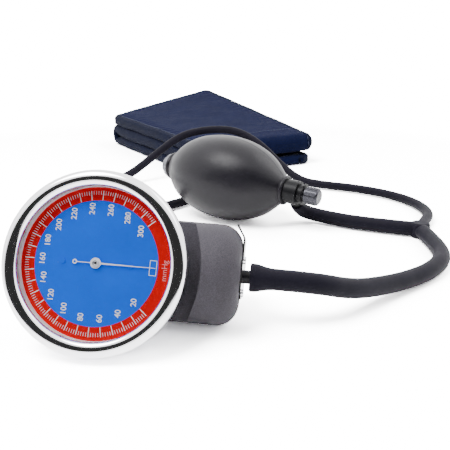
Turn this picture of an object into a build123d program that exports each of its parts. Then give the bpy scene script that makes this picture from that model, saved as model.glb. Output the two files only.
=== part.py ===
from build123d import *
from math import atan2, cos, degrees, pi, radians, sin, sqrt, tan
import os

# Aneroid sphygmomanometer laid out on a table: pressure gauge on a grip, inflation
# bulb with its valves, folded arm cuff, and three rubber hoses that meet in a Y piece.
# Millimetres, +Z up, the table is z = 0. X runs to the right and Y away from the dial.

# ---- driving dimensions -------------------------------------------------------------
BEZEL_R = 32.5          # gauge rim, outside
BEZEL_OPEN_R = 26.8     # opening over the dial
BEZEL_DEPTH = 9.6
BEZEL_WIDE_Z = -6.2     # the rim is widest from near its crest back to here
CRYSTAL_R = 28.5
CRYSTAL_BACK_Z = -3.6
CRYSTAL_FRONT_Z = -2.2
DIAL_Z = -5.4           # printed face of the dial, below the rim's crest
DIAL_T = 0.6
CUP_R = 28.6
CUP_WALL = 1.2
CUP_FLOOR_Z = -21.2
GRIP_R = 19.3
GRIP_AXIS_Z = -28.0     # axis of the grip, behind the rim's crest
GRIP_RIGHT_X = 49.6
GRIP_LEFT_X = -16.0
GRIP_ROUND = 8.6        # rounding of the grip's hose end
GRIP_POCKET_R = 36.3    # round pocket that takes the gauge
GRIP_POCKET_Z = -21.5
GRIP_WALL = 2.5
DIAL_SCREW_X = 12.0
CAP_R = 9.0

SECTOR_PITCH_R = 12.0
PINION_TEETH = 10
GEAR_MODULE = 0.3
PINION_PITCH_R = PINION_TEETH * GEAR_MODULE / 2
SECTOR_TEETH_PER_TURN = 80
SECTOR_TEETH = 12
SECTOR_PIVOT = (0.0, -(SECTOR_PITCH_R + PINION_PITCH_R))
SECTOR_TRAVEL = 40.0    # degrees, for the whole scale
TOP_PLATE_Z = -8.6
GEAR_Z = -11.2
BASE_PLATE_Z = -13.8
PLATE_T = 0.8
PLATE_R = 21.0
PILLAR_R = 17.5
POINTER_Z = -4.9

GAUGE_AT = (-23.8, -245.5, 32.8)   # middle of the rim's crest plane
GAUGE_YAW = -6.0
GAUGE_ROLL = 3.0        # the hose end dips
GAUGE_TILT = 23.5       # the dial leans back

BULB_R = 25.5
BULB_HALF = 39.0
BULB_WALL = 2.2
BULB_NECK_R = 8.5
BULB_NECK_X = 41.0
BULB_BORE_R = 5.0
BULB_AT = (22.5, -85.0, 25.6)
BULB_YAW = -32.0
BULB_PITCH = 4.0        # the valve end dips

CUFF_LONG = 200.0
CUFF_WIDE = 120.0
CUFF_LAYER = 8.0
CUFF_GAP = 2.0
CUFF_LIFT_FRONT = 3.0   # the folded packet's far end fans open, more at its back corner
CUFF_LIFT_BACK = 28.0
CUFF_AT = (0.0, 141.2)
CUFF_YAW = 120.4        # direction of the packet's long side
CUFF_PORT_SIDE = -45.0

HOSE_D = 8.2
CUFF_HOSE_D = 6.0
ARC_SHARE = 0.45        # share of the shorter run that a bend takes

Y_AT = (131.0, -122.5, 4.3)
Y_ARM = 7.0
Y_HUB_R = 5.4
Y_ANGLES = (-88.0, 64.0, 160.0)     # gauge hose, cuff hose, bulb hose

# Routes, from where each hose leaves the object to the Y piece.
GAUGE_HOSE = [(55.8, -228, 17.6), (71.5, -219, 11), (86, -207, 7), (101, -195.5, 4.7),
              (116, -183.5, 4.3), (127.5, -168, 4.3), (131.4, -149, 4.3)]
BULB_HOSE = [(66.9, -95.7, 8.1), (75.5, -94, 4.7), (91.5, -106, 4.3), (108, -114.1, 4.3)]
CUFF_HOSE = [(24, 11.3, 4.6), (27, -6, 4), (22, -23, 3.6), (10, -40, 3.4), (-4, -57, 3.4), (-18, -73, 3.4),
             (-34, -86, 3.4), (-54, -93, 3.4), (-73, -88, 3.4), (-85, -72, 3.4), (-87, -52, 3.4),
             (-79, -31, 3.4), (-67, -11, 3.6), (-52, 6, 7), (-35, 22, 19), (-15, 37, 33),
             (7, 43, 37), (30, 40, 37), (49, 30, 28), (65, 17, 13), (79, -1, 3.8), (95, -13, 3.4),
             (113, -21, 3.4), (130, -34, 3.4), (143, -51, 3.4), (149, -71, 3.4), (147.5, -91, 3.6),
             (138.5, -107, 4.0)]


def unit(v):
    size = sqrt(sum(c * c for c in v))
    return tuple(c / size for c in v)


def cross(a, b):
    return (a[1] * b[2] - a[2] * b[1], a[2] * b[0] - a[0] * b[2], a[0] * b[1] - a[1] * b[0])


def along(point, direction, distance):
    return tuple(p + distance * d for p, d in zip(point, direction))


def gauge_plane():
    """X from the dial's middle to the hose end, Y up over the dial, Z out of the dial."""
    yaw, roll, tilt = radians(GAUGE_YAW), radians(GAUGE_ROLL), radians(GAUGE_TILT)
    x_axis = (cos(yaw) * cos(roll), sin(yaw) * cos(roll), -sin(roll))
    level = (sin(yaw), -cos(yaw), 0.0)
    upright = unit(cross(level, x_axis))
    outward = tuple(cos(tilt) * a + sin(tilt) * b for a, b in zip(level, upright))
    return Plane(origin=GAUGE_AT, x_dir=x_axis, z_dir=outward)


def bulb_plane():
    """X along the bulb towards the release valve."""
    yaw, pitch = radians(BULB_YAW), radians(BULB_PITCH)
    x_axis = (cos(yaw) * cos(pitch), sin(yaw) * cos(pitch), -sin(pitch))
    side = (-sin(yaw), cos(yaw), 0.0)
    return Plane(origin=BULB_AT, x_dir=x_axis, z_dir=cross(x_axis, side))


def cuff_plane():
    """X along the packet's long side, away from the gauge; Z up."""
    yaw = radians(CUFF_YAW)
    return Plane(origin=(CUFF_AT[0], CUFF_AT[1], 0.0), x_dir=(cos(yaw), sin(yaw), 0), z_dir=(0, 0, 1))


GAUGE = gauge_plane()
BULB = bulb_plane()
CUFF = cuff_plane()


def rod(radius, z_low, z_high, at=(0.0, 0.0)):
    return Pos(at[0], at[1], (z_low + z_high) / 2) * Cylinder(radius, z_high - z_low)


def ring(outer, inner, z_low, z_high):
    return rod(outer, z_low, z_high) - rod(inner, z_low - 1, z_high + 1)


def x_rod(radius, x_low, x_high, z=0.0):
    return Pos((x_low + x_high) / 2, 0, z) * Rot(0, 90, 0) * Cylinder(radius, x_high - x_low)


def lathe_z(outline):
    """Solid of revolution about Z from a closed outline of (radius, z) points."""
    return revolve(make_face(Plane.XZ * Polyline(*outline, close=True)), Axis.Z)


def on_circle(radius, angle):
    return (radius * cos(radians(angle)), radius * sin(radians(angle)))


# ---- gauge head ---------------------------------------------------------------------
def bezel_ring():
    crest_r = 29.4
    side = Plane.XZ
    inner_rise = ThreePointArc((BEZEL_OPEN_R, -1.5), (27.6, -0.45), (crest_r, 0))
    outer_fall = ThreePointArc((crest_r, 0), (31.6, -0.75), (BEZEL_R, -2.8))
    rest = Polyline((BEZEL_R, -2.8), (BEZEL_R, BEZEL_WIDE_Z), (31.6, -BEZEL_DEPTH + 0.6),
                    (31.6, -BEZEL_DEPTH), (31.4, -BEZEL_DEPTH), (31.4, -7.9), (28.8, -7.9),
                    (28.8, CRYSTAL_FRONT_Z), (BEZEL_OPEN_R, CRYSTAL_FRONT_Z), (BEZEL_OPEN_R, -1.5))
    return revolve(make_face(side * (Curve() + [inner_rise, outer_fall, rest])), Axis.Z)


def crystal():
    return rod(CRYSTAL_R, CRYSTAL_BACK_Z, CRYSTAL_FRONT_Z)


def dial_spacer():
    return ring(CRYSTAL_R, BEZEL_OPEN_R, DIAL_Z, CRYSTAL_BACK_Z)


def dial_plate():
    plate = rod(CRYSTAL_R, DIAL_Z - DIAL_T, DIAL_Z) - rod(1.3, DIAL_Z - 2, DIAL_Z + 1)
    for x in (-DIAL_SCREW_X, DIAL_SCREW_X):
        plate -= rod(0.55, DIAL_Z - 2, DIAL_Z + 1, (x, 0))
    return plate


def dial_screws():
    pair = []
    for x in (-DIAL_SCREW_X, DIAL_SCREW_X):
        shank = rod(0.5, TOP_PLATE_Z + PLATE_T, DIAL_Z, (x, 0))
        pair.append(shank + rod(1.0, DIAL_Z, DIAL_Z + 0.35, (x, 0)))
    return Compound(children=pair)


def case_cup():
    """Spun cup: straight behind the flange, then tapering to its floor."""
    step_z = -11.5
    foot_r = 21.5
    cup = lathe_z([(0, CUP_FLOOR_Z), (foot_r, CUP_FLOOR_Z), (CUP_R, step_z), (CUP_R, -9.2), (31.3, -9.2),
                   (31.3, -8.0), (CUP_R, -8.0), (CUP_R, DIAL_Z - DIAL_T), (CUP_R - CUP_WALL, DIAL_Z - DIAL_T),
                   (CUP_R - CUP_WALL, step_z + 0.4), (foot_r - 0.6, CUP_INSIDE_Z), (0, CUP_INSIDE_Z)])
    return cup - rod(3.05, CUP_FLOOR_Z - 1, CUP_FLOOR_Z + 3)


# ---- movement -----------------------------------------------------------------------
def movement_plate(z_low):
    plate = rod(PLATE_R, z_low, z_low + PLATE_T)
    plate -= rod(0.55, z_low - 1, z_low + 2)
    plate -= rod(0.85, z_low - 1, z_low + 2, SECTOR_PIVOT)
    return plate


def movement_base():
    return movement_plate(BASE_PLATE_Z) - rod(1.25, BASE_PLATE_Z - 1, BASE_PLATE_Z + 2, PUSHER_AT)


def movement_top_plate():
    plate = movement_plate(TOP_PLATE_Z)
    for angle in PILLAR_ANGLES:
        plate -= rod(0.6, TOP_PLATE_Z - 1, TOP_PLATE_Z + 2, on_circle(PILLAR_R, angle))
    return plate


PILLAR_ANGLES = (30.0, 150.0, 270.0)
PUSHER_AT = (10.0, 3.0)
CUP_INSIDE_Z = CUP_FLOOR_Z + CUP_WALL


def movement_pillars():
    """Three posts between the plates, each carried on to the cup's floor by a foot."""
    posts = []
    for angle in PILLAR_ANGLES:
        at = on_circle(PILLAR_R, angle)
        posts.append(rod(1.4, BASE_PLATE_Z + PLATE_T, TOP_PLATE_Z, at))
        posts.append(rod(1.4, CUP_INSIDE_Z, BASE_PLATE_Z, at))
    return Compound(children=posts)


def plate_screws():
    heads = []
    for angle in PILLAR_ANGLES:
        at = on_circle(PILLAR_R, angle)
        heads.append(rod(0.55, TOP_PLATE_Z, TOP_PLATE_Z + PLATE_T, at)
                     + rod(1.2, TOP_PLATE_Z + PLATE_T, TOP_PLATE_Z + PLATE_T + 0.6, at))
    return Compound(children=heads)


def tooth(pitch_r, half_angle, addendum, dedendum):
    """One tapered tooth pointing along +X from a wheel at the origin, as a flat face."""
    root = pitch_r - dedendum
    tip = pitch_r + addendum
    foot = pitch_r * radians(half_angle) + dedendum * 0.25
    top = pitch_r * radians(half_angle) - addendum * 0.3
    return make_face(Polyline((root - 0.25, -foot), (tip, -top), (tip, top), (root - 0.25, foot), close=True))


def sector_gear():
    """Toothed sector on its arbor; its first tooth gap faces the pinion at zero pressure."""
    pitch = 360.0 / SECTOR_TEETH_PER_TURN
    rim_in = SECTOR_PITCH_R - 2.2
    root = SECTOR_PITCH_R - 0.32
    first = 90.0 - (SECTOR_TEETH - 2) * pitch
    arc = [Rot(0, 0, first + i * pitch) * tooth(SECTOR_PITCH_R, pitch * 0.19, 0.22, 0.3)
           for i in range(SECTOR_TEETH)]
    low, high = first - pitch / 2, first + (SECTOR_TEETH - 0.5) * pitch
    wedge_r = SECTOR_PITCH_R + 4
    wedge = make_face(Polyline((0, 0), on_circle(wedge_r, low), on_circle(wedge_r, (low + high) / 2),
                               on_circle(wedge_r, high), close=True))
    disc = (Circle(root) - Circle(rim_in)) & wedge
    spoke = Rot(0, 0, (low + high) / 2) * (Pos(root / 2, 0) * Rectangle(root - 0.6, 2.4))
    flat = Circle(2.2) + disc + spoke
    for one in arc:
        flat += one
    gear = Pos(0, 0, GEAR_Z) * extrude(flat, PLATE_T)
    arbor = rod(0.8, BASE_PLATE_Z, TOP_PLATE_Z + PLATE_T)
    return Pos(SECTOR_PIVOT[0], SECTOR_PIVOT[1], 0) * (gear + arbor)


def pinion_arbor():
    """Pinion with its long arbor, which carries the pointer; a tooth faces the sector."""
    flat = Circle(PINION_PITCH_R - 0.34)
    for i in range(PINION_TEETH):
        flat += Rot(0, 0, -90 + 18 + i * 36) * tooth(PINION_PITCH_R, 36 * 0.17, 0.2, 0.3)
    gear = Pos(0, 0, GEAR_Z - 0.4) * extrude(flat, PLATE_T + 0.8)
    return gear + rod(0.5, BASE_PLATE_Z, POINTER_Z + 0.5)


def hairspring():
    """Flat spiral of half rings, each drawn about one of two centres."""
    z_low, width, step, start = -9.7, 0.12, 0.5, 0.9
    spiral = None
    for i in range(10):
        radius = start + i * step / 2
        half = Circle(radius + width / 2) - Circle(radius - width / 2)
        side = 1 if i % 2 == 0 else -1
        half = half & (Pos(0, side * 10) * Rectangle(20, 20))
        half = Pos(0 if side == 1 else step / 2, 0) * half
        spiral = half if spiral is None else spiral + half
    return Pos(0, 0, z_low) * extrude(spiral, 0.4)


def pointer():
    """Tapered pointer towards the zero mark, with a short tail ending in a ring."""
    blade = make_face(Polyline((1.6, -0.3), (7.0, -0.24), (21.2, -0.09), (21.2, 0.09), (7.0, 0.24),
                               (1.6, 0.3), close=True))
    tail = Pos(-4.0, 0) * Rectangle(5.2, 0.3)
    tail_ring = Pos(-7.4, 0) * (Circle(0.85) - Circle(0.42))
    boss = Circle(1.9)
    flat = boss + blade + tail + tail_ring - Circle(0.5)
    return Pos(0, 0, POINTER_Z) * extrude(flat, 0.2)


def pointer_cap():
    cap = rod(1.25, POINTER_Z + 0.2, POINTER_Z + 0.9)
    return cap - rod(0.5, POINTER_Z - 1, POINTER_Z + 0.5)


CAPSULE_LOW_Z = -18.3
CAPSULE_HALF_T = 1.5
CAPSULE_R = 15.0


def capsule_half(z_low, z_high, dish_low, dish_high):
    half = rod(CAPSULE_R, z_low, z_high)
    return half - rod(CAPSULE_R - 2.5, dish_low, dish_high)


def capsule_lower():
    low = CAPSULE_LOW_Z
    half = capsule_half(low, low + CAPSULE_HALF_T, low + 0.4, low + 3)
    return half + ring(3.0, 1.2, low - 0.2, low + 0.4) - rod(1.2, low - 1, low + 2)


def capsule_upper():
    low = CAPSULE_LOW_Z + CAPSULE_HALF_T
    return capsule_half(low, low + CAPSULE_HALF_T, low - 3, low + CAPSULE_HALF_T - 0.4)


def capsule_pusher():
    top = CAPSULE_LOW_Z + 2 * CAPSULE_HALF_T
    foot = rod(2.0, top, top + 0.6, PUSHER_AT)
    return foot + rod(1.2, top, BASE_PLATE_Z + PLATE_T + 0.6, PUSHER_AT)


# ---- grip ---------------------------------------------------------------------------
def grip_body():
    solid = x_rod(GRIP_R, GRIP_LEFT_X, GRIP_RIGHT_X, GRIP_AXIS_Z)
    solid = fillet(solid.edges().filter_by(GeomType.CIRCLE).sort_by(Axis.X)[-1], GRIP_ROUND)
    solid = fillet(solid.edges().filter_by(GeomType.CIRCLE).sort_by(Axis.X)[0], 5.0)
    solid -= rod(GRIP_POCKET_R, GRIP_POCKET_Z, 10)
    cavity = x_rod(GRIP_R - GRIP_WALL, GRIP_LEFT_X + 3, GRIP_RIGHT_X - 8, GRIP_AXIS_Z)
    cavity &= Pos(20, 0, GRIP_POCKET_Z - GRIP_WALL - 25) * Box(120, 60, 50)
    solid -= cavity
    solid -= x_rod(CAP_R + 0.02, GRIP_RIGHT_X - 9, GRIP_RIGHT_X + 2, GRIP_AXIS_Z)
    return solid - rod(5.05, GRIP_POCKET_Z - GRIP_WALL - 1, GRIP_POCKET_Z + 1)


def end_cap():
    cap = x_rod(CAP_R, GRIP_RIGHT_X - 3, GRIP_RIGHT_X, GRIP_AXIS_Z)
    return cap - x_rod(NIPPLE_R, GRIP_RIGHT_X - 4, GRIP_RIGHT_X + 1, GRIP_AXIS_Z)


NIPPLE_R = 2.6
CLIP_T = 0.7
NIPPLE_END_X = GRIP_RIGHT_X + 3.4
MANIFOLD_R = 3.9


def air_manifold():
    """Brass block that joins the nipple at the end to the stem under the gauge."""
    block = x_rod(MANIFOLD_R, -6, GRIP_RIGHT_X - 3, GRIP_AXIS_Z)
    block += rod(5.0, GRIP_AXIS_Z, GRIP_POCKET_Z)
    block -= x_rod(1.2, -3, GRIP_RIGHT_X, GRIP_AXIS_Z)
    return block - rod(3.0, GRIP_AXIS_Z + 1, 0)


def gauge_stem():
    stem = rod(3.0, GRIP_AXIS_Z + 1, CUP_INSIDE_Z + 1.5)
    return stem - rod(1.2, GRIP_AXIS_Z - 1, 0)


def stem_nut():
    nut = Pos(0, 0, CUP_INSIDE_Z) * extrude(RegularPolygon(5.2, 6), 1.4)
    return nut - rod(3.0, CUP_FLOOR_Z - 1, 0)


def stem_washer():
    return ring(7.0, 3.0, CUP_FLOOR_Z - 0.3, CUP_FLOOR_Z)


def end_nipple():
    """Nipple that the gauge hose's end is pushed on to."""
    nipple = x_rod(NIPPLE_R, GRIP_RIGHT_X - 3, NIPPLE_END_X, GRIP_AXIS_Z)
    return nipple - x_rod(1.2, GRIP_RIGHT_X - 5, NIPPLE_END_X + 1, GRIP_AXIS_Z)


def bent_strip(run, radii, width):
    """Strip of sheet, bent in the XY plane and as wide as given along Z."""
    line = FilletPolyline(*[(x, y, 0) for x, y in run], radius=radii)
    across = Plane(origin=line @ 0, x_dir=(0, 0, 1), z_dir=line % 0)
    return sweep(across * Rectangle(width, CLIP_T), path=line)


def spring_clip():
    """Sprung clip on the grip's end: a tab over the upper shoulder, a tongue along the back."""
    face_x = GRIP_RIGHT_X + 0.05 + CLIP_T / 2
    tab = bent_strip([(face_x, -8.5), (face_x, 14.5), (face_x - 3.0, 19.2)], [4.0], 10.0)
    tongue = bent_strip([(face_x, -8.5), (face_x, 19.0), (face_x - 5, 21.6), (18, 20.6), (9, 23.4)],
                        [2.0, 2.5, 6.0], 12.0)
    clip = Pos(0, 0, GRIP_AXIS_Z) * (tab + Rot(-90, 0, 0) * tongue)
    return clip - x_rod(NIPPLE_R + 0.01, 40, 60, GRIP_AXIS_Z)


def clip_screws():
    pair = []
    for side in (-6.2, 6.2):
        head = Pos(GRIP_RIGHT_X + 0.05 + CLIP_T + 0.35, side, GRIP_AXIS_Z) * Rot(0, 90, 0) * Cylinder(1.5, 0.7)
        pair.append(head)
    return Compound(children=pair)


# ---- bulb and valves (local X along the bulb) ---------------------------------------
def ellipsoid(half, radius):
    upper = Pos(0, radius) * Rectangle(4 * half, 2 * radius)
    return revolve(Ellipse(half, radius) & upper, Axis.X)


def bulb_shell():
    outer = ellipsoid(BULB_HALF, BULB_R)
    outer += x_rod(BULB_NECK_R, -BULB_NECK_X, BULB_NECK_X)
    outer -= ellipsoid(BULB_HALF - BULB_WALL, BULB_R - BULB_WALL)
    return outer - x_rod(BULB_BORE_R, -BULB_NECK_X - 1, BULB_NECK_X + 1)


def intake_valve_body():
    body = x_rod(BULB_BORE_R, -BULB_NECK_X, -BULB_NECK_X + 8)
    body += x_rod(7.2, -BULB_NECK_X - 2.4, -BULB_NECK_X)
    body += x_rod(5.4, -BULB_NECK_X - 4.6, -BULB_NECK_X - 2.4)
    body -= x_rod(1.1, -BULB_NECK_X - 6, -BULB_NECK_X + 9)
    body -= x_rod(2.1, -BULB_NECK_X + 1, -BULB_NECK_X + 6)
    return body - x_rod(2.6, -BULB_NECK_X - 6, -BULB_NECK_X - 3.4)


def intake_filter():
    return x_rod(2.6, -BULB_NECK_X - 4.4, -BULB_NECK_X - 3.4)


BALL_R = 1.5
BALL_TRAVEL = 1.2


def intake_ball():
    return Pos(-BULB_NECK_X + 1 + BALL_R + 0.35, 0, 0) * Sphere(BALL_R)


VALVE_R = 7.0
VALVE_END_X = 52.0
SIDE_X = 44.5
SIDE_DOWN = 45.0        # the side nipple points this far below level, behind the valve
SIDE_REACH = 12.5
KNOB_X = 53.4
KNOB_LENGTH = 8.0
KNOB_R = 5.0
NEEDLE_R = 2.45
SEAT_X = 46.8


def release_valve_body():
    body = x_rod(BULB_BORE_R, 33, BULB_NECK_X) + x_rod(VALVE_R, BULB_NECK_X, VALVE_END_X - 3)
    body += x_rod(5.4, VALVE_END_X - 3, VALVE_END_X)
    body += side_rod(3.2, 0, SIDE_REACH)
    body -= x_rod(2.1, 34.5, 38.5)
    body -= x_rod(1.0, 32, SEAT_X + 1)
    body -= Pos(SEAT_X + 1.0, 0, 5) * Cylinder(0.6, 10)
    body -= x_rod(NEEDLE_R + 0.05, SEAT_X, VALVE_END_X + 1)
    return body - side_rod(1.2, 0, SIDE_REACH + 1)


def side_rod(radius, low, high):
    turn = Rot(90.0 - SIDE_DOWN, 0, 0)
    return Pos(SIDE_X, 0, 0) * turn * Pos(0, 0, -(low + high) / 2) * Cylinder(radius, high - low)


def outlet_ball():
    return Pos(34.5 + BALL_R + 0.35, 0, 0) * Sphere(BALL_R)


def valve_needle():
    stem = x_rod(NEEDLE_R, SEAT_X + 1.8, KNOB_X + 4)
    tip = Pos(SEAT_X + 1.0, 0, 0) * Rot(0, 90, 0) * Cone(0.6, NEEDLE_R, 1.6)
    return stem + tip


def valve_knob():
    knob = x_rod(KNOB_R - 0.3, KNOB_X, KNOB_X + KNOB_LENGTH)
    knob = chamfer(knob.edges().sort_by(Axis.X)[-1], 0.8)
    flutes = 20
    for i in range(flutes):
        angle = 360.0 * i / flutes
        y, z = on_circle(KNOB_R - 0.3, angle)
        knob += Pos(KNOB_X + KNOB_LENGTH / 2 - 0.3, y, z) * Rot(0, 90, 0) * Cylinder(0.32, KNOB_LENGTH - 2.0)
    return knob - x_rod(NEEDLE_R + 0.05, KNOB_X - 1, KNOB_X + 4.6)


def valve_washer():
    return x_rod(6.2, VALVE_END_X, VALVE_END_X + 0.5) - x_rod(NEEDLE_R + 0.3, VALVE_END_X - 1, VALVE_END_X + 2)


# ---- cuff ---------------------------------------------------------------------------
def cuff_lift(y):
    """How far the packet's springy far end stands up, more at its back corner."""
    share = 0.5 - y / CUFF_WIDE
    return CUFF_LIFT_FRONT + (CUFF_LIFT_BACK - CUFF_LIFT_FRONT) * share


def cuff_section(y):
    """Long section of the cuff folded in three: an S whose layers fan out at the far end."""
    pitch = CUFF_LAYER + CUFF_GAP
    end = CUFF_LONG / 2
    turn = end - (pitch + CUFF_LAYER) / 2
    lift = cuff_lift(y)
    top, middle = 2 * pitch, pitch
    lines = [
        Line((-end, 0), (turn, 0)),
        ThreePointArc((turn, 0), (end, (middle + CUFF_LAYER + lift / 2) / 2), (turn, middle + CUFF_LAYER + lift / 2)),
        Line((turn, middle + CUFF_LAYER + lift / 2), (-turn, middle + CUFF_LAYER)),
        ThreePointArc((-turn, middle + CUFF_LAYER), (-turn - 1, top - CUFF_GAP / 2), (-turn, top)),
        Line((-turn, top), (end, top + lift)),
        Line((end, top + lift), (end, top + CUFF_LAYER + lift)),
        Line((end, top + CUFF_LAYER + lift), (-turn, top + CUFF_LAYER)),
        ThreePointArc((-turn, top + CUFF_LAYER), (-end, (top + CUFF_LAYER + middle) / 2), (-turn, middle)),
        Line((-turn, middle), (turn, middle + lift / 2)),
        ThreePointArc((turn, middle + lift / 2), (turn + 1.5, (CUFF_LAYER + middle + lift / 2) / 2), (turn, CUFF_LAYER)),
        Line((turn, CUFF_LAYER), (-end, CUFF_LAYER)),
        Line((-end, CUFF_LAYER), (-end, 0)),
    ]
    plane = Plane(origin=(0, y, 0), x_dir=(1, 0, 0), z_dir=(0, -1, 0))
    return make_face(plane * (Curve() + lines))


def cuff_cover():
    half = CUFF_WIDE / 2
    cover = loft([cuff_section(-half), cuff_section(half)], ruled=True)
    return cover - bladder(0.05) - cuff_port(0.0)


BLADDER_LONG = 150.0
BLADDER_WIDE = 100.0
BLADDER_T = 3.6


def bladder(grow=0.0):
    slab = Box(BLADDER_LONG + grow, BLADDER_WIDE + grow, BLADDER_T + grow)
    return Pos(-10, 0, CUFF_LAYER / 2) * slab


PORT_R = 2.6
PORT_Z = 4.6
PORT_TIP_X = -CUFF_LONG / 2 - 8.0


def cuff_port(shrink=0.0):
    """Rubber neck of the bladder, out through the cover's near end."""
    low, high = PORT_TIP_X, -10 - BLADDER_LONG / 2
    return Pos(0, -CUFF_PORT_SIDE, PORT_Z) * Pos((low + high) / 2, 0, 0) * Rot(0, 90, 0) * Cylinder(
        PORT_R - shrink, high - low)


def port_collar():
    x_mid = -CUFF_LONG / 2 - 1.2
    collar = Pos(x_mid, -CUFF_PORT_SIDE, PORT_Z) * Rot(0, 90, 0) * Cylinder(4.4, 2.4)
    return collar - cuff_port(-0.01)


PATCH_LONG = 110.0
PATCH_WIDE = 80.0
PATCH_T = 0.9


def fastener_patch(layers_below, lift_share):
    """Hook or loop patch on top of a layer, following that layer's slope."""
    low = layers_below * (CUFF_LAYER + CUFF_GAP) - CUFF_GAP + 0.55
    turn = (CUFF_LONG - CUFF_LAYER) / 2 - (CUFF_LAYER + CUFF_GAP) / 2
    ends = []
    for y in (-PATCH_WIDE / 2, PATCH_WIDE / 2):
        corners = []
        for x, up in ((-PATCH_LONG / 2, 0), (PATCH_LONG / 2, 0), (PATCH_LONG / 2, PATCH_T), (-PATCH_LONG / 2, PATCH_T)):
            corners.append((x, y, low + up + lift_share * cuff_lift(y) * (x + turn) / (2 * turn)))
        ends.append(make_face(Polyline(*corners, close=True)))
    return loft(ends, ruled=True)


# ---- hoses and the Y piece ----------------------------------------------------------
def y_direction(index):
    angle = radians(Y_ANGLES[index])
    return (cos(angle), sin(angle), 0.0)


def y_piece():
    """Moulded Y: a low round hub with one arm to each hose."""
    x, y, z = Y_AT
    hub = Pos(x, y, z) * Cylinder(Y_HUB_R, HOSE_D + 0.2)
    hub = fillet(hub.edges().filter_by(GeomType.CIRCLE), 1.6)
    for index, radius in ((0, HOSE_D / 2), (1, CUFF_HOSE_D / 2), (2, HOSE_D / 2)):
        direction = y_direction(index)
        middle = along(Y_AT, direction, Y_ARM / 2)
        hub += Plane(origin=middle, z_dir=direction) * Cylinder(radius, Y_ARM)
    return hub


def turn_angle(a, b, c):
    into = Vector(*b) - Vector(*a)
    out = Vector(*c) - Vector(*b)
    return into.get_angle(out), min(into.length, out.length)


def bend_radii(route, name):
    radii = []
    for a, b, c in zip(route, route[1:], route[2:]):
        angle, shorter = turn_angle(a, b, c)
        radii.append(ARC_SHARE * shorter / tan(radians(angle / 2)))
    print(name, "bend radii", [round(r, 1) for r in radii])
    return radii


def hose(route, diameter, name):
    path = FilletPolyline(*route, radius=bend_radii(route, name))
    start = Plane(origin=path @ 0, z_dir=path % 0)
    tube = sweep(start * Circle(diameter / 2), path=path)
    section = pi * diameter ** 2 / 4
    print(name, "length", round(path.length, 1), "volume ratio", round(tube.volume / section / path.length, 4))
    return tube


def gauge_point(x, y, z):
    return tuple(GAUGE.from_local_coords(Vector(x, y, z)))


def bulb_point(x, y, z):
    return tuple(BULB.from_local_coords(Vector(x, y, z)))


SLEEVE_LENGTH = 9.0


def hose_sleeve():
    """Swollen end of the gauge hose, where it is pushed over its nipple."""
    sleeve = Pos(NIPPLE_END_X + SLEEVE_LENGTH / 2, 0, GRIP_AXIS_Z) * Rot(0, 90, 0)
    return sleeve * Cone(5.4, HOSE_D / 2, SLEEVE_LENGTH)


def gauge_hose():
    start = gauge_point(NIPPLE_END_X + SLEEVE_LENGTH, 0, GRIP_AXIS_Z)
    end = along(Y_AT, y_direction(0), Y_ARM)
    return hose([start] + GAUGE_HOSE + [end], HOSE_D, "gauge hose")


def bulb_hose():
    down = radians(SIDE_DOWN)
    start = bulb_point(SIDE_X, SIDE_REACH * cos(down), -SIDE_REACH * sin(down))
    end = along(Y_AT, y_direction(2), Y_ARM)
    return hose([start] + BULB_HOSE + [end], HOSE_D, "bulb hose")


def cuff_hose():
    start = tuple(CUFF.from_local_coords(Vector(PORT_TIP_X, -CUFF_PORT_SIDE, PORT_Z)))
    end = along(Y_AT, y_direction(1), Y_ARM)
    return hose([start] + CUFF_HOSE + [end], CUFF_HOSE_D, "cuff hose")


IN_GAUGE = {
    "bezel_ring": bezel_ring, "crystal": crystal, "dial_spacer": dial_spacer,
    "dial_plate": dial_plate, "dial_screws": dial_screws, "case_cup": case_cup,
    "movement_base": movement_base, "movement_top_plate": movement_top_plate,
    "movement_pillars": movement_pillars, "plate_screws": plate_screws,
    "sector_gear": sector_gear, "pinion_arbor": pinion_arbor, "hairspring": hairspring,
    "pointer": pointer, "pointer_cap": pointer_cap, "capsule_lower": capsule_lower,
    "capsule_upper": capsule_upper, "capsule_pusher": capsule_pusher,
    "grip_body": grip_body, "end_cap": end_cap, "air_manifold": air_manifold,
    "gauge_stem": gauge_stem, "stem_nut": stem_nut, "stem_washer": stem_washer,
    "end_nipple": end_nipple, "spring_clip": spring_clip, "clip_screws": clip_screws,
    "hose_sleeve": hose_sleeve,
}
IN_BULB = {
    "bulb_shell": bulb_shell, "intake_valve_body": intake_valve_body,
    "intake_filter": intake_filter, "intake_ball": intake_ball,
    "release_valve_body": release_valve_body, "outlet_ball": outlet_ball,
    "valve_needle": valve_needle, "valve_knob": valve_knob, "valve_washer": valve_washer,
}
IN_CUFF = {
    "cuff_cover": cuff_cover, "bladder": bladder, "cuff_port": cuff_port,
    "port_collar": port_collar,
    "loop_patch": lambda: fastener_patch(1, 0.0),
    "hook_patch": lambda: fastener_patch(2, 0.5),
}
LOOSE = {"y_piece": y_piece, "gauge_hose": gauge_hose, "bulb_hose": bulb_hose, "cuff_hose": cuff_hose}

os.makedirs("parts", exist_ok=True)
for group, plane in ((IN_GAUGE, GAUGE), (IN_BULB, BULB), (IN_CUFF, CUFF), (LOOSE, Plane.XY)):
    for node, make in group.items():
        solid = plane.location * make()
        export_step(solid, f"parts/{node}.step")
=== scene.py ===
import bmesh
import bpy
from math import cos, pi, radians, sin, sqrt
from mathutils import Matrix, Vector, noise


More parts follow.
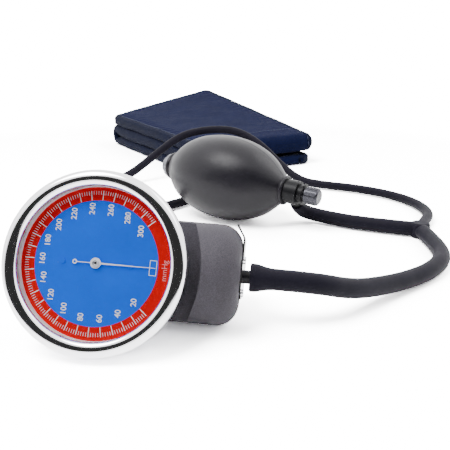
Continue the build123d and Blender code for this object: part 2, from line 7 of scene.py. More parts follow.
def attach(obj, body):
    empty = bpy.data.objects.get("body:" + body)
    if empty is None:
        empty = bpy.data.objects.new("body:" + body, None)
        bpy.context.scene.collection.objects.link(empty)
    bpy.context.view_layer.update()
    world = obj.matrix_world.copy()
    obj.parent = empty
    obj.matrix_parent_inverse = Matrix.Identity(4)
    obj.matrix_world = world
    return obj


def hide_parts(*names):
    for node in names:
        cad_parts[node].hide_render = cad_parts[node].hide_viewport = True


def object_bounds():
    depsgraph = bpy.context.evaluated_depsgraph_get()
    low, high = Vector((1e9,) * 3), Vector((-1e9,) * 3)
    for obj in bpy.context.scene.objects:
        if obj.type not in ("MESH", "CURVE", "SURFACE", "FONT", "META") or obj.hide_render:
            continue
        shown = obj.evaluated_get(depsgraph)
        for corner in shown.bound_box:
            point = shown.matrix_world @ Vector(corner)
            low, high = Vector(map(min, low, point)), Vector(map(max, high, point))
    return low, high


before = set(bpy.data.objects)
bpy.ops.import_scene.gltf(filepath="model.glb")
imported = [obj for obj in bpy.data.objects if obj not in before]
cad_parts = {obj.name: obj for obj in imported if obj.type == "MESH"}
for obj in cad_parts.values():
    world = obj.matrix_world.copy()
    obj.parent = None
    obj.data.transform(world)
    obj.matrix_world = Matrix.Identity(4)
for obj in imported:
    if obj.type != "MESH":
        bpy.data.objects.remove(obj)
cad_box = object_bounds()
MM = 0.001

# ---- where the gauge, the bulb and the cuff lie (the same values as the CAD) --------
GAUGE_AT = (-23.8, -245.5, 32.8)
GAUGE_YAW, GAUGE_ROLL, GAUGE_TILT = -6.0, 3.0, 23.5
GRIP_AXIS_Z = -28.0
GRIP_END_X = 49.6
NIPPLE_END_X = GRIP_END_X + 3.4
SLEEVE_LENGTH = 9.0
BULB_AT = (22.5, -85.0, 25.6)
BULB_YAW, BULB_PITCH = -32.0, 4.0
CUFF_AT = (0.0, 141.2, 0.0)
CUFF_YAW = 120.4
HOSE_D = 8.2
CUFF_HOSE_D = 6.0
Y_AT = (131.0, -122.5, 4.3)
Y_ARM = 7.0
Y_ANGLES = (-88.0, 64.0, 160.0)
VALVE_SIDE_X, VALVE_SIDE_REACH, VALVE_SIDE_DOWN = 44.5, 12.5, 45.0
PORT_TIP = (-108.0, 45.0, 4.6)

GAUGE_HOSE = [(55.8, -228, 17.6), (71.5, -219, 11), (86, -207, 7), (101, -195.5, 4.7),
              (116, -183.5, 4.3), (127.5, -168, 4.3), (131.4, -149, 4.3)]
BULB_HOSE = [(66.9, -95.7, 8.1), (75.5, -94, 4.7), (91.5, -106, 4.3), (108, -114.1, 4.3)]
CUFF_HOSE = [(24, 11.3, 4.6), (27, -6, 4), (22, -23, 3.6), (10, -40, 3.4), (-4, -57, 3.4), (-18, -73, 3.4),
             (-34, -86, 3.4), (-54, -93, 3.4), (-73, -88, 3.4), (-85, -72, 3.4), (-87, -52, 3.4),
             (-79, -31, 3.4), (-67, -11, 3.6), (-52, 6, 7), (-35, 22, 19), (-15, 37, 33),
             (7, 43, 37), (30, 40, 37), (49, 30, 28), (65, 17, 13), (79, -1, 3.8), (95, -13, 3.4),
             (113, -21, 3.4), (130, -34, 3.4), (143, -51, 3.4), (149, -71, 3.4), (147.5, -91, 3.6),
             (138.5, -107, 4.0)]


def frame_matrix(origin, x_axis, z_axis):
    """Local millimetres to the row frame's metres."""
    x, z = Vector(x_axis).normalized(), Vector(z_axis).normalized()
    y = z.cross(x)
    turn = Matrix((x, y, z)).transposed().to_4x4()
    return Matrix.Translation(Vector(origin) * MM) @ turn @ Matrix.Scale(MM, 4)


def gauge_matrix():
    yaw, roll, tilt = radians(GAUGE_YAW), radians(GAUGE_ROLL), radians(GAUGE_TILT)
    x_axis = Vector((cos(yaw) * cos(roll), sin(yaw) * cos(roll), -sin(roll)))
    level = Vector((sin(yaw), -cos(yaw), 0))
    upright = level.cross(x_axis).normalized()
    return frame_matrix(GAUGE_AT, x_axis, cos(tilt) * level + sin(tilt) * upright)


def bulb_matrix():
    yaw, pitch = radians(BULB_YAW), radians(BULB_PITCH)
    x_axis = Vector((cos(yaw) * cos(pitch), sin(yaw) * cos(pitch), -sin(pitch)))
    return frame_matrix(BULB_AT, x_axis, x_axis.cross(Vector((-sin(yaw), cos(yaw), 0))))


def cuff_matrix():
    yaw = radians(CUFF_YAW)
    return frame_matrix(CUFF_AT, (cos(yaw), sin(yaw), 0), (0, 0, 1))


GAUGE, BULB, CUFF = gauge_matrix(), bulb_matrix(), cuff_matrix()


# ---- node helpers -------------------------------------------------------------------
class Shader:
    """A material with its node tree; colours and bumps are added one at a time."""

    def __init__(self, name, color, roughness=0.5, **fixed):
        self.mat = bpy.data.materials.new(name)
        self.mat.use_nodes = True
        self.tree = self.mat.node_tree
        self.bsdf = self.tree.nodes["Principled BSDF"]
        self.base = tuple(color) + (1.0,)
        self.bsdf.inputs["Base Color"].default_value = self.base
        self.bsdf.inputs["Roughness"].default_value = roughness
        for key, value in fixed.items():
            self.bsdf.inputs[key.replace("_", " ")].default_value = value
        self.coord = self.node("ShaderNodeTexCoord").outputs["Object"]
        self.height = None

    def node(self, kind, **values):
        made = self.tree.nodes.new(kind)
        for key, value in values.items():
            setattr(made, key, value)
        return made

    def link(self, source, target):
        self.tree.links.new(source, target)

    def noise(self, scale, detail=3.0, rough=0.55, stretch=None):
        made = self.node("ShaderNodeTexNoise")
        made.inputs["Scale"].default_value = scale
        made.inputs["Detail"].default_value = detail
        made.inputs["Roughness"].default_value = rough
        self.link(self.mapped(stretch), made.inputs["Vector"])
        return made.outputs["Fac"]

    def voronoi(self, scale):
        made = self.node("ShaderNodeTexVoronoi")
        made.inputs["Scale"].default_value = scale
        self.link(self.coord, made.inputs["Vector"])
        return made.outputs["Distance"]

    def mapped(self, stretch, turn=None):
        if stretch is None and turn is None:
            return self.coord
        made = self.node("ShaderNodeMapping")
        made.inputs["Scale"].default_value = stretch or (1, 1, 1)
        made.inputs["Rotation"].default_value = turn or (0, 0, 0)
        self.link(self.coord, made.inputs["Vector"])
        return made.outputs["Vector"]

    def ramp(self, source, low, high, a=(0, 0, 0), b=(1, 1, 1)):
        made = self.node("ShaderNodeValToRGB")
        made.color_ramp.elements[0].position = low
        made.color_ramp.elements[1].position = high
        made.color_ramp.elements[0].color = tuple(a) + (1,)
        made.color_ramp.elements[1].color = tuple(b) + (1,)
        self.link(source, made.inputs["Fac"])
        return made.outputs["Color"]

    def math(self, operation, a, b=0.0):
        made = self.node("ShaderNodeMath", operation=operation)
        for slot, value in zip(made.inputs, (a, b)):
            if isinstance(value, float):
                slot.default_value = value
            else:
                self.link(value, slot)
        return made.outputs["Value"]

    def tint(self, source, low, high, dark, light):
        """Base colour runs from dark to light with the source."""
        shade = lambda k: tuple(min(1.0, c * k) for c in self.base[:3])
        self.link(self.ramp(source, low, high, shade(dark), shade(light)), self.bsdf.inputs["Base Color"])
        return self

    def rough(self, source, low, high):
        made = self.node("ShaderNodeMapRange")
        made.inputs["To Min"].default_value = low
        made.inputs["To Max"].default_value = high
        self.link(source, made.inputs["Value"])
        self.link(made.outputs["Result"], self.bsdf.inputs["Roughness"])
        return self

    def bump(self, source, strength, distance):
        made = self.node("ShaderNodeBump")
        made.inputs["Strength"].default_value = strength
        made.inputs["Distance"].default_value = distance
        self.link(source, made.inputs["Height"])
        if self.height is not None:
            self.link(self.height, made.inputs["Normal"])
        self.height = made.outputs["Normal"]
        self.link(self.height, self.bsdf.inputs["Normal"])
        return self


def rgb(red, green, blue):
    """Screen colour, 0 to 255, as the linear colour that a shader takes."""
    return tuple(c / 3294.6 if c <= 10 else ((c / 255 + 0.055) / 1.055) ** 2.4 for c in (red, green, blue))


# ---- materials ----------------------------------------------------------------------
def chrome_material():
    made = Shader("chrome_plate", rgb(246, 245, 248), 0.07, Metallic=1.0)
    fine = made.noise(900, 4)
    made.rough(fine, 0.05, 0.13)
    return made.bump(made.noise(260, 2), 0.02, 0.0001).mat


def satin_chrome_material(name, color):
    made = Shader(name, color, 0.3, Metallic=1.0)
    made.rough(made.noise(1400, 3), 0.2, 0.36)
    return made.bump(made.noise(5000, 2), 0.12, 0.00004).mat


def crystal_material():
    made = Shader("crystal_clear_glass", rgb(40, 42, 46), 0.02, Alpha=0.06, IOR=1.49)
    made.rough(made.noise(220, 2), 0.015, 0.05)
    return made.mat


def spun_metal_material(name, color, roughness, scale=2600):
    """Turned or rolled metal: fine cut marks and uneven polish."""
    made = Shader(name, color, roughness, Metallic=1.0)
    marks = made.noise(scale, 4, stretch=(1, 0.12, 1))
    made.tint(made.noise(300, 3), 0.3, 0.7, 0.86, 1.06)
    made.rough(marks, roughness * 0.75, roughness * 1.35)
    return made.bump(marks, 0.18, 0.00005).mat


def printed_material(name, color, dark, light):
    """Screen-printed enamel on the dial: even colour, faint ink texture, soft gloss."""
    made = Shader(name, color, 0.38, Specular_IOR_Level=0.04)
    made.tint(made.noise(34, 2), 0.3, 0.75, dark, light)
    made.rough(made.noise(1500, 2), 0.33, 0.46)
    return made.bump(made.noise(4200, 3), 0.08, 0.00003).mat


def print_ink_material(name, color):
    made = Shader(name, color, 0.45)
    made.tint(made.noise(800, 3), 0.3, 0.7, 0.93, 1.0)
    return made.bump(made.noise(5200, 2), 0.1, 0.00002).mat


def spark_material():
    """Moulded grey plastic with a spark-eroded skin, a little polished by hands."""
    made = Shader("grip_spark_texture", rgb(80, 77, 84), 0.58, Specular_IOR_Level=0.14)
    grain = made.noise(2300, 6, 0.72)
    made.tint(made.noise(2900, 4, 0.7), 0.36, 0.66, 0.66, 1.22)
    made.rough(made.noise(60, 3), 0.5, 0.68)
    made.bump(made.noise(60, 2), 0.1, 0.0006)
    return made.bump(grain, 0.6, 0.00022).mat


def rubber_material(name, color, grain=1500, bloom=1.25, roughness=0.62, sheen=0.04, gloss=0.22):
    """Soft rubber: matt, with a slight dusty bloom and a fine moulded grain."""
    made = Shader(name, color, roughness, Sheen_Weight=sheen, Sheen_Roughness=0.5, Specular_IOR_Level=gloss)
    made.tint(made.noise(75, 5, 0.6), 0.32, 0.72, 0.84, bloom)
    made.rough(made.noise(130, 3), roughness - 0.1, roughness + 0.1)
    made.bump(made.noise(160, 2), 0.12, 0.0004)
    return made.bump(made.noise(grain, 5, 0.65), 0.3, 0.0001).mat


def plastic_black_material():
    made = Shader("valve_black_plastic", rgb(18, 18, 21), 0.34, Specular_IOR_Level=0.12)
    made.tint(made.noise(240, 3), 0.3, 0.7, 0.8, 1.25)
    made.rough(made.noise(900, 3), 0.26, 0.44)
    return made.bump(made.noise(2600, 3), 0.15, 0.00005).mat


def filter_material():
    made = Shader("intake_gauze", rgb(60, 60, 64), 0.5, Metallic=0.8)
    cells = made.voronoi(2600)
    made.tint(cells, 0.15, 0.55, 0.1, 1.6)
    return made.bump(cells, 0.9, 0.0003).mat


def weave_material(name, color, pitch=0.00055, sheen=0.35, roughness=0.82):
    """Plain-woven nylon: threads cross over and under along the cuff's two directions."""
    made = Shader(name, color, roughness, Sheen_Weight=sheen, Sheen_Roughness=0.45, Specular_IOR_Level=0.06)
    waves = []
    along = (0, 0, -radians(CUFF_YAW))
    for axis in ("X", "Y"):
        wave = made.node("ShaderNodeTexWave", bands_direction=axis, wave_profile="SIN")
        wave.inputs["Scale"].default_value = 0.3142 / pitch
        wave.inputs["Distortion"].default_value = 0.6
        wave.inputs["Detail"].default_value = 1.0
        wave.inputs["Detail Scale"].default_value = 300.0
        made.link(made.mapped((1, 1, 1), along), wave.inputs["Vector"])
        waves.append(wave.outputs["Fac"])
    crossed = made.math("MAXIMUM", waves[0], waves[1])
    thread = made.math("MULTIPLY", crossed, made.math("ADD", made.noise(700, 2), 0.5))
    made.tint(made.math("ADD", made.math("MULTIPLY", thread, 0.5),
                        made.math("MULTIPLY", made.noise(46, 4, 0.6), 0.6)), 0.25, 0.85, 0.72, 1.28)
    made.bump(made.noise(120, 3), 0.2, 0.0012)
    return made.bump(thread, 0.55, 0.00018).mat


def thread_material():
    made = Shader("stitch_thread", rgb(36, 44, 78), 0.7, Sheen_Weight=0.06)
    strand = made.noise(5200, 2, stretch=(1, 1, 0.3))
    made.tint(strand, 0.3, 0.7, 0.75, 1.3)
    return made.bump(strand, 0.5, 0.0001).mat


def pile_material(name, color, scale):
    """Hook or loop fastener: a close pile of tiny hooks or fuzzy loops."""
    made = Shader(name, color, 0.9, Sheen_Weight=0.5)
    pile = made.voronoi(scale)
    made.tint(pile, 0.1, 0.6, 1.5, 0.5)
    return made.bump(pile, 0.9, 0.0006).mat


FLOOR_CARD, FLOOR_SEEN, FLOOR_MIRRORED = 0.8, 8.5, 1.6     # pale card as a light source, then what is added to it
SWEEP_FROM, SWEEP_TO, SWEEP_GLOW = 0.32, 1.1, 24.0         # the table brightens into an even sweep between these, in m


def floor_material():
    """Pale table: shaded near the object, a bright even sweep further out, and plain pale card as a light source."""
    made = Shader("pale_table", rgb(240, 240, 240), 0.9, Specular_IOR_Level=0.1)
    rays = made.node("ShaderNodeLightPath").outputs
    seen, mirrored = rays["Is Camera Ray"], rays["Is Glossy Ray"]
    shade = made.math("ADD", made.math("ADD", made.math("MULTIPLY", seen, FLOOR_SEEN), FLOOR_CARD),
                      made.math("MULTIPLY", mirrored, FLOOR_MIRRORED))
    gain = made.node("ShaderNodeCombineColor")
    for channel in gain.inputs:
        made.link(shade, channel)
    made.link(gain.outputs["Color"], made.bsdf.inputs["Base Color"])
    far = made.node("ShaderNodeVectorMath", operation="LENGTH")
    made.link(made.coord, far.inputs[0])
    sweep = made.node("ShaderNodeMapRange")
    for key, value in (("From Min", SWEEP_FROM), ("From Max", SWEEP_TO), ("To Max", SWEEP_GLOW)):
        sweep.inputs[key].default_value = value
    made.link(far.outputs["Value"], sweep.inputs["Value"])
    made.bsdf.inputs["Emission Color"].default_value = (1, 1, 1, 1)
    made.link(made.math("MULTIPLY", sweep.outputs["Result"], seen), made.bsdf.inputs["Emission Strength"])
    return made.bump(made.noise(900, 3), 0.03, 0.0001).mat


CHROME, CRYSTAL = chrome_material(), crystal_material()
SATIN_CHROME = satin_chrome_material("satin_chrome", rgb(116, 116, 122))
KNOB_METAL = satin_chrome_material("knob_dark_metal", rgb(58, 58, 63))
BRASS = spun_metal_material("movement_brass", rgb(214, 184, 112), 0.3)
STEEL = spun_metal_material("movement_steel", rgb(196, 198, 204), 0.28)
BRONZE = spun_metal_material("capsule_bronze_foil", rgb(190, 150, 96), 0.34, 1500)
ALUMINIUM = spun_metal_material("spun_aluminium", rgb(212, 214, 218), 0.36, 1800)
DIAL_BLUE = printed_material("print_blue", rgb(0, 97, 236), 0.9, 1.1)
DIAL_RED = printed_material("print_red", rgb(214, 0, 12), 0.86, 1.0)
PRINT_WHITE = print_ink_material("print_white", rgb(246, 247, 250))
PRINT_PINK = print_ink_material("print_unit_pink", rgb(244, 150, 150))
POINTER_WHITE = printed_material("pointer_enamel", rgb(240, 241, 246), 0.94, 1.0)
SPARK = spark_material()
HOSE_RUBBER = rubber_material("hose_rubber_matt", rgb(22, 20, 30), gloss=0.07)
BULB_RUBBER = rubber_material("bulb_rubber_soft", rgb(28, 26, 32), 1100, 1.25, 0.36, 0.03, 0.2)
VALVE_BLACK = plastic_black_material()
GAUZE = filter_material()
NAVY = weave_material("navy_nylon_weave", rgb(7, 14, 46), sheen=0.02)
TAPE = weave_material("navy_binding_tape", rgb(10, 15, 36), 0.0008, 0.03)
THREAD = thread_material()
LOOPS = pile_material("loop_pile", rgb(34, 42, 70), 900)
HOOKS = pile_material("hook_pile", rgb(28, 34, 58), 1300)

NODE_FINISH = {
    "crystal": CRYSTAL, "dial_spacer": PRINT_WHITE, "case_cup": ALUMINIUM, "dial_screws": DIAL_BLUE,
    "movement_base": BRASS, "movement_top_plate": BRASS, "movement_pillars": BRASS, "sector_gear": BRASS,
    "air_manifold": BRASS, "gauge_stem": BRASS, "stem_nut": BRASS, "plate_screws": STEEL,
    "pinion_arbor": STEEL, "hairspring": STEEL, "intake_ball": STEEL, "outlet_ball": STEEL,
    "valve_needle": STEEL, "capsule_pusher": STEEL, "capsule_lower": BRONZE, "capsule_upper": BRONZE,
    "pointer": POINTER_WHITE, "grip_body": SPARK, "end_cap": SPARK, "end_nipple": VALVE_BLACK,
    "spring_clip": CHROME, "clip_screws": CHROME, "intake_filter": GAUZE,
    "intake_valve_body": SATIN_CHROME, "valve_knob": KNOB_METAL, "release_valve_body": VALVE_BLACK,
    "valve_washer": VALVE_BLACK, "port_collar": VALVE_BLACK, "stem_washer": HOSE_RUBBER,
    "y_piece": HOSE_RUBBER, "cuff_port": HOSE_RUBBER, "bladder": HOSE_RUBBER,
}
for node, finish in NODE_FINISH.items():
    slots = bpy.data.objects[node].material_slots
    for slot in slots:
        slot.material = finish


# ---- mesh helpers -------------------------------------------------------------------
def add_piece(name, mesh, matrix, materials, body="base", replaces=(), sharp=35):
    mesh.transform(matrix)
    for material in materials:
        mesh.materials.append(material)
    for face in mesh.polygons:
        face.use_smooth = True
    mesh.set_sharp_from_angle(angle=radians(sharp))
    piece = bpy.data.objects.new(name, mesh)
    bpy.context.scene.collection.objects.link(piece)
    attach(piece, body)
    if replaces:
        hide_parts(*replaces)
    return piece


def finished(bm, name):
    bmesh.ops.remove_doubles(bm, verts=bm.verts, dist=1e-5)
    bmesh.ops.recalc_face_normals(bm, faces=bm.faces)
    mesh = bpy.data.meshes.new(name)
    bm.to_mesh(mesh)
    bm.free()
    return mesh


def bowed(start, middle, end, steps=8):
    """Points of a smooth arc through three (radius, height) points, without its end."""
    pull = [2 * m - (a + b) / 2 for a, m, b in zip(start, middle, end)]
    out = []
    for i in range(steps):
        t = i / steps
        out.append(tuple((1 - t) ** 2 * a + 2 * t * (1 - t) * p + t * t * b for a, p, b in zip(start, pull, end)))
    return out


def lathe(bm, outline, turns=144, closed=False, swell=None, zone=None):
    """Surface of revolution about Z. swell(angle, r, z) moves a point out, zone(r, z) picks its material."""
    rings = []
    for r, z in outline:
        ring = []
        for i in range(turns):
            angle = 2 * pi * i / turns
            out = r + (swell(angle, r, z) if swell and r > 0 else 0.0)
            ring.append(bm.verts.new((out * cos(angle), out * sin(angle), z)))
        rings.append(ring)
    pairs = list(zip(rings, rings[1:])) + ([(rings[-1], rings[0])] if closed else [])
    for k, (low, high) in enumerate(pairs):
        for i in range(turns):
            j = (i + 1) % turns
            face = bm.faces.new((low[i], low[j], high[j], high[i]))
            if zone:
                face.material_index = zone(*[(a + b) / 2 for a, b in zip(outline[k], outline[(k + 1) % len(outline)])])
    return rings


def polygon(bm, corners, z):
    return bm.faces.new([bm.verts.new((x, y, z)) for x, y in corners])


def text_mesh(bm, words, size, place, weight=0.0):
    """Adds filled lettering to bm; place is a matrix from the text's plane."""
    letters = bpy.data.curves.new("lettering", "FONT")
    letters.body, letters.size, letters.offset = words, size, weight
    letters.align_x, letters.align_y = "CENTER", "CENTER"
    holder = bpy.data.objects.new("lettering", letters)
    bpy.context.scene.collection.objects.link(holder)
    bpy.context.view_layer.update()
    flat = bpy.data.meshes.new_from_object(holder.evaluated_get(bpy.context.evaluated_depsgraph_get()))
    flat.transform(place)
    bm.from_mesh(flat)
    bpy.data.objects.remove(holder)
    bpy.data.meshes.remove(flat)


# ---- gauge head ---------------------------------------------------------------------
def make_bezel():
    crest = 29.4
    outline = bowed((26.8, -1.5), (27.6, -0.45), (crest, 0), 10) + bowed((crest, 0), (31.6, -0.75), (32.5, -2.8), 14)
    outline += bowed((32.5, -2.8), (32.5, -4.5), (32.42, -6.2), 3)
    outline += [(32.35, -6.4), (32.1, -7.2), (31.75, -8.9), (31.6, -9.2), (31.45, -9.6), (31.3, -9.2), (31.3, -7.9),
                (28.8, -7.9), (28.8, -2.2), (26.95, -2.2), (26.8, -2.0)]
    bm = bmesh.new()
    lathe(bm, outline, 200, closed=True)
    return add_piece("bezel", finished(bm, "bezel"), GAUGE, [CHROME], replaces=["bezel_ring"], sharp=50)


DIAL_Z, DIAL_R, BLUE_R, POINTER_TOP = -5.4, 28.5, 22.0, -4.7
ZERO_ANGLE, DEGREES_PER_MMHG = -20.0, -1.0
PRINT_RISE, NUMERAL_R, NUMERAL_SIZE, NUMERAL_WEIGHT, UNIT_AT, UNIT_SIZE = 0.03, 19.2, 2.8, 0.05, (24.3, -0.6), 2.7
MAJOR_TICK, MINOR_TICK = (22.15, 25.5, 0.15), (24.0, 25.4, 0.085)       # from and to radius, half width
ZERO_BOX = (18.9, 21.5, 2.7, 0.24)                                      # from and to radius, half width, line


def make_dial():
    """Printed disc: blue middle, red scale ring, and a small bevel down at the rim."""
    outline = [(1.3, DIAL_Z), (6, DIAL_Z), (13, DIAL_Z), (19, DIAL_Z), (BLUE_R, DIAL_Z), (24.5, DIAL_Z),
               (26.9, DIAL_Z), (28.1, DIAL_Z), (DIAL_R, DIAL_Z - 0.12), (DIAL_R, DIAL_Z - 0.6), (1.3, DIAL_Z - 0.6)]
    bm = bmesh.new()
    lathe(bm, outline, 160, closed=True, zone=lambda r, z: 1 if r > BLUE_R else 0)
    return add_piece("dial_face", finished(bm, "dial_face"), GAUGE, [DIAL_BLUE, DIAL_RED],
                     replaces=["dial_plate"])


def scale_angle(mmhg):
    return radians(ZERO_ANGLE + DEGREES_PER_MMHG * mmhg)


def make_scale():
    """White print on the dial: ticks every 2 and 10 mmHg, numerals every 20, unit and zero box."""
    bm = bmesh.new()
    z = DIAL_Z + PRINT_RISE
    for mmhg in range(20, 301, 2):
        inner, outer, half = MINOR_TICK if mmhg % 10 else MAJOR_TICK
        turn = Matrix.Rotation(scale_angle(mmhg), 3, "Z")
        corners = [turn @ Vector(c) for c in ((inner, -half, z), (outer, -half, z), (outer, half, z), (inner, half, z))]
        bm.faces.new([bm.verts.new(c) for c in corners])
    upright = Matrix(((0, -1, 0, 0), (1, 0, 0, 0), (0, 0, 1, 0), (0, 0, 0, 1)))
    for mmhg in range(20, 301, 20):
        angle = scale_angle(mmhg)
        at = Matrix.Translation((NUMERAL_R * cos(angle), NUMERAL_R * sin(angle), z))
        text_mesh(bm, str(mmhg), NUMERAL_SIZE, at @ upright, NUMERAL_WEIGHT)
    before = len(bm.faces)
    text_mesh(bm, "mmHg", UNIT_SIZE, Matrix.Translation((*UNIT_AT, z)) @ upright)
    bm.faces.ensure_lookup_table()
    for face in bm.faces[before:]:
        face.material_index = 1
    low, high, half, line = ZERO_BOX
    for a, b in (((low, -half), (high, -half + line)), ((low, half - line), (high, half)),
                 ((low, -half), (low + line, half)), ((high - line, -half), (high, half))):
        polygon(bm, [(a[0], a[1]), (b[0], a[1]), (b[0], b[1]), (a[0], b[1])], z)
    mesh = finished(bm, "scale_print")
    return add_piece("scale_print", mesh, GAUGE, [PRINT_WHITE, PRINT_PINK])


def make_pointer_hub():
    """Turned cap on the pinion's end: white ring, steel ring, white centre in a shallow counterbore, with a black disc
    painted at its middle as painted shade of a centre hole that is not modelled.
    """
    z = POINTER_TOP
    outline = [(1.25, z), (1.25, z + 0.3)] + bowed((1.25, z + 0.3), (1.2, z + 0.62), (0.95, z + 0.7), 5)
    outline += [(0.95, z + 0.7), (0.72, z + 0.66), (0.66, z + 0.3), (0.5, z + 0.25), (0.3, z + 0.3), (0, z + 0.32)]
    bm = bmesh.new()
    # the black zone at the very middle (r < 0.28) is painted shade for a centre hole; the outline cuts no hole there
    lathe(bm, outline, 48, zone=lambda r, h: 1 if r < 0.28 else 2 if 0.56 < r < 0.9 else 0)
    return add_piece("pointer_hub", finished(bm, "pointer_hub"), GAUGE, [POINTER_WHITE, VALVE_BLACK, STEEL],
                     body="pointer_shaft", replaces=["pointer_cap"])


def make_hose_end():
    """Swollen rubber end of the gauge hose, with a rolled lip against the grip."""
    outline = [(2.75, 0.0)] + bowed((4.6, 0.0), (5.3, 0.15), (5.4, 0.9), 5)
    outline += bowed((5.4, 0.9), (5.35, 2.4), (5.0, 4.0), 5) + bowed((5.0, 4.0), (4.45, 6.3), (4.2, 8.0), 6)
    outline += [(4.15, SLEEVE_LENGTH), (2.75, SLEEVE_LENGTH)]
    bm = bmesh.new()
    lathe(bm, outline, 64, closed=True)
    place = GAUGE @ Matrix.Translation((NIPPLE_END_X, 0, GRIP_AXIS_Z)) @ Matrix.Rotation(pi / 2, 4, "Y")
    return add_piece("hose_end", finished(bm, "hose_end"), place, [HOSE_RUBBER],
                     replaces=["hose_sleeve"])


# ---- bulb ---------------------------------------------------------------------------
BULB_HALF, BULB_R, BULB_WALL, BORE_R = 39.0, 25.5, 2.2, 5.0
SEAM_RIDGE, SEAM_HALF_WIDTH = 0.16, 0.9


def make_bulb():
    """Hollow squeeze bulb: moulding line along both sides, a rolled collar at each neck."""
    join = 33.2
    side = [(BULB_R * sqrt(1 - (x / BULB_HALF) ** 2), x) for x in [join * sin(pi / 2 * i / 22) for i in range(-22, 23)]]
    end_r = side[-1][0]
    neck = bowed((end_r, join), (10.2, 36.6), (8.3, 38.4), 6) + [(8.2, 38.8)]
    neck += bowed((8.3, 39.0), (8.62, 39.9), (8.5, 40.6), 5) + [(8.3, 41.0), (BORE_R, 41.0)]
    inside = [((BULB_R - BULB_WALL) * cos(pi / 2 * i / 12), (BULB_HALF - BULB_WALL) * sin(pi / 2 * i / 12))
              for i in range(11, -12, -1)]
    outline = [(r, -x) for r, x in reversed(neck)] + side[1:-1] + neck + inside

    def seam(angle, r, x):
        near = min(abs(sin(angle)) * r, 3.0)
        outside = r > 0.93 * BULB_R * sqrt(max(0.0, 1 - (x / BULB_HALF) ** 2)) and abs(x) < 38
        return SEAM_RIDGE * max(0.0, 1 - near / SEAM_HALF_WIDTH) if outside else 0.0

    bm = bmesh.new()
    lathe(bm, outline, 180, closed=True, swell=seam)
    place = BULB @ Matrix.Rotation(pi / 2, 4, "Y")
    return add_piece("squeeze_bulb", finished(bm, "squeeze_bulb"), place, [BULB_RUBBER],
                     replaces=["bulb_shell"], sharp=60)


# ---- hoses --------------------------------------------------------------------------
def y_end(index):
    angle = radians(Y_ANGLES[index])
    return (Y_AT[0] + Y_ARM * cos(angle), Y_AT[1] + Y_ARM * sin(angle), Y_AT[2])


def in_mm(matrix, x, y, z):
    return tuple(c / MM for c in matrix @ Vector((x, y, z)))


def make_hose(name, node, route, diameter):
    """Rubber hose along its route, on one smooth spline."""
    curve = bpy.data.curves.new(name, "CURVE")
    curve.dimensions = "3D"
    spline = curve.splines.new("NURBS")
    spline.points.add(len(route) - 1)
    for point, at in zip(spline.points, route):
        point.co = tuple(c * MM for c in at) + (1.0,)
    spline.order_u = 3
    spline.use_endpoint_u = True
    curve.resolution_u = 16
    curve.bevel_depth = diameter / 2 * MM
    curve.bevel_resolution = 9
    curve.use_fill_caps = True
    curve.materials.append(HOSE_RUBBER)
    piece = bpy.data.objects.new(name, curve)
    bpy.context.scene.collection.objects.link(piece)
    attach(piece, "base")
    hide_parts(node)
    return piece


def make_hoses():
    down = radians(VALVE_SIDE_DOWN)
    sleeve_end = in_mm(GAUGE, NIPPLE_END_X + SLEEVE_LENGTH, 0, GRIP_AXIS_Z)
    valve_side = in_mm(BULB, VALVE_SIDE_X, VALVE_SIDE_REACH * cos(down), -VALVE_SIDE_REACH * sin(down))
    port_tip = in_mm(CUFF, *PORT_TIP)
    for name, node, start, route, end, width, length in (
            ("hose_to_gauge", "gauge_hose", sleeve_end, GAUGE_HOSE, y_end(0), HOSE_D, 0.149),
            ("hose_to_bulb", "bulb_hose", valve_side, BULB_HOSE, y_end(2), HOSE_D, 0.0721),
            ("hose_to_cuff", "cuff_hose", port_tip, CUFF_HOSE, y_end(1), CUFF_HOSE_D, 0.6066)):
        hose = make_hose(name, node, [start] + route + [end], width)


# ---- cuff ---------------------------------------------------------------------------
CUFF_LONG, CUFF_WIDE, LAYER, GAP = 200.0, 120.0, 8.0, 2.0
LIFT_FRONT, LIFT_BACK = 3.0, 28.0       # how far the packet's far end fans open
CORNER, HEM_HALF, HEM_RISE, BLADDER_FULLNESS = 11.0, 2.9, 1.8, 0.4
PUCKER_DEPTH, PUCKER_PITCH = 0.34, 8.5
SNUG_REACH, SNUG_MOST = 16.0, 3.0
TAPE_REACH, TAPE_PROUD, TAPE_STEP = 6.2, 0.32, 2.6
STITCH_PITCH, STITCH_LENGTH, STITCH_RADIUS, STITCH_PROUD, STITCH_INSET = 3.2, 2.3, 0.28, 0.34, 5.3
TABLE_CLEARANCE = 0.45                  # the lowest that bare fabric lies, so that tape and thread clear the table
BEND = (LAYER + GAP) / 2
STRAIGHT = CUFF_LONG / 2 - BEND - LAYER / 2
LOOP = pi * BEND
FIRST = 2 * STRAIGHT + BEND + LAYER / 2
FLAT_LONG = 2 * FIRST + 2 * STRAIGHT + 2 * LOOP


def cuff_lift(t):
    return LIFT_FRONT + (LIFT_BACK - LIFT_FRONT) * (0.5 - t / CUFF_WIDE)


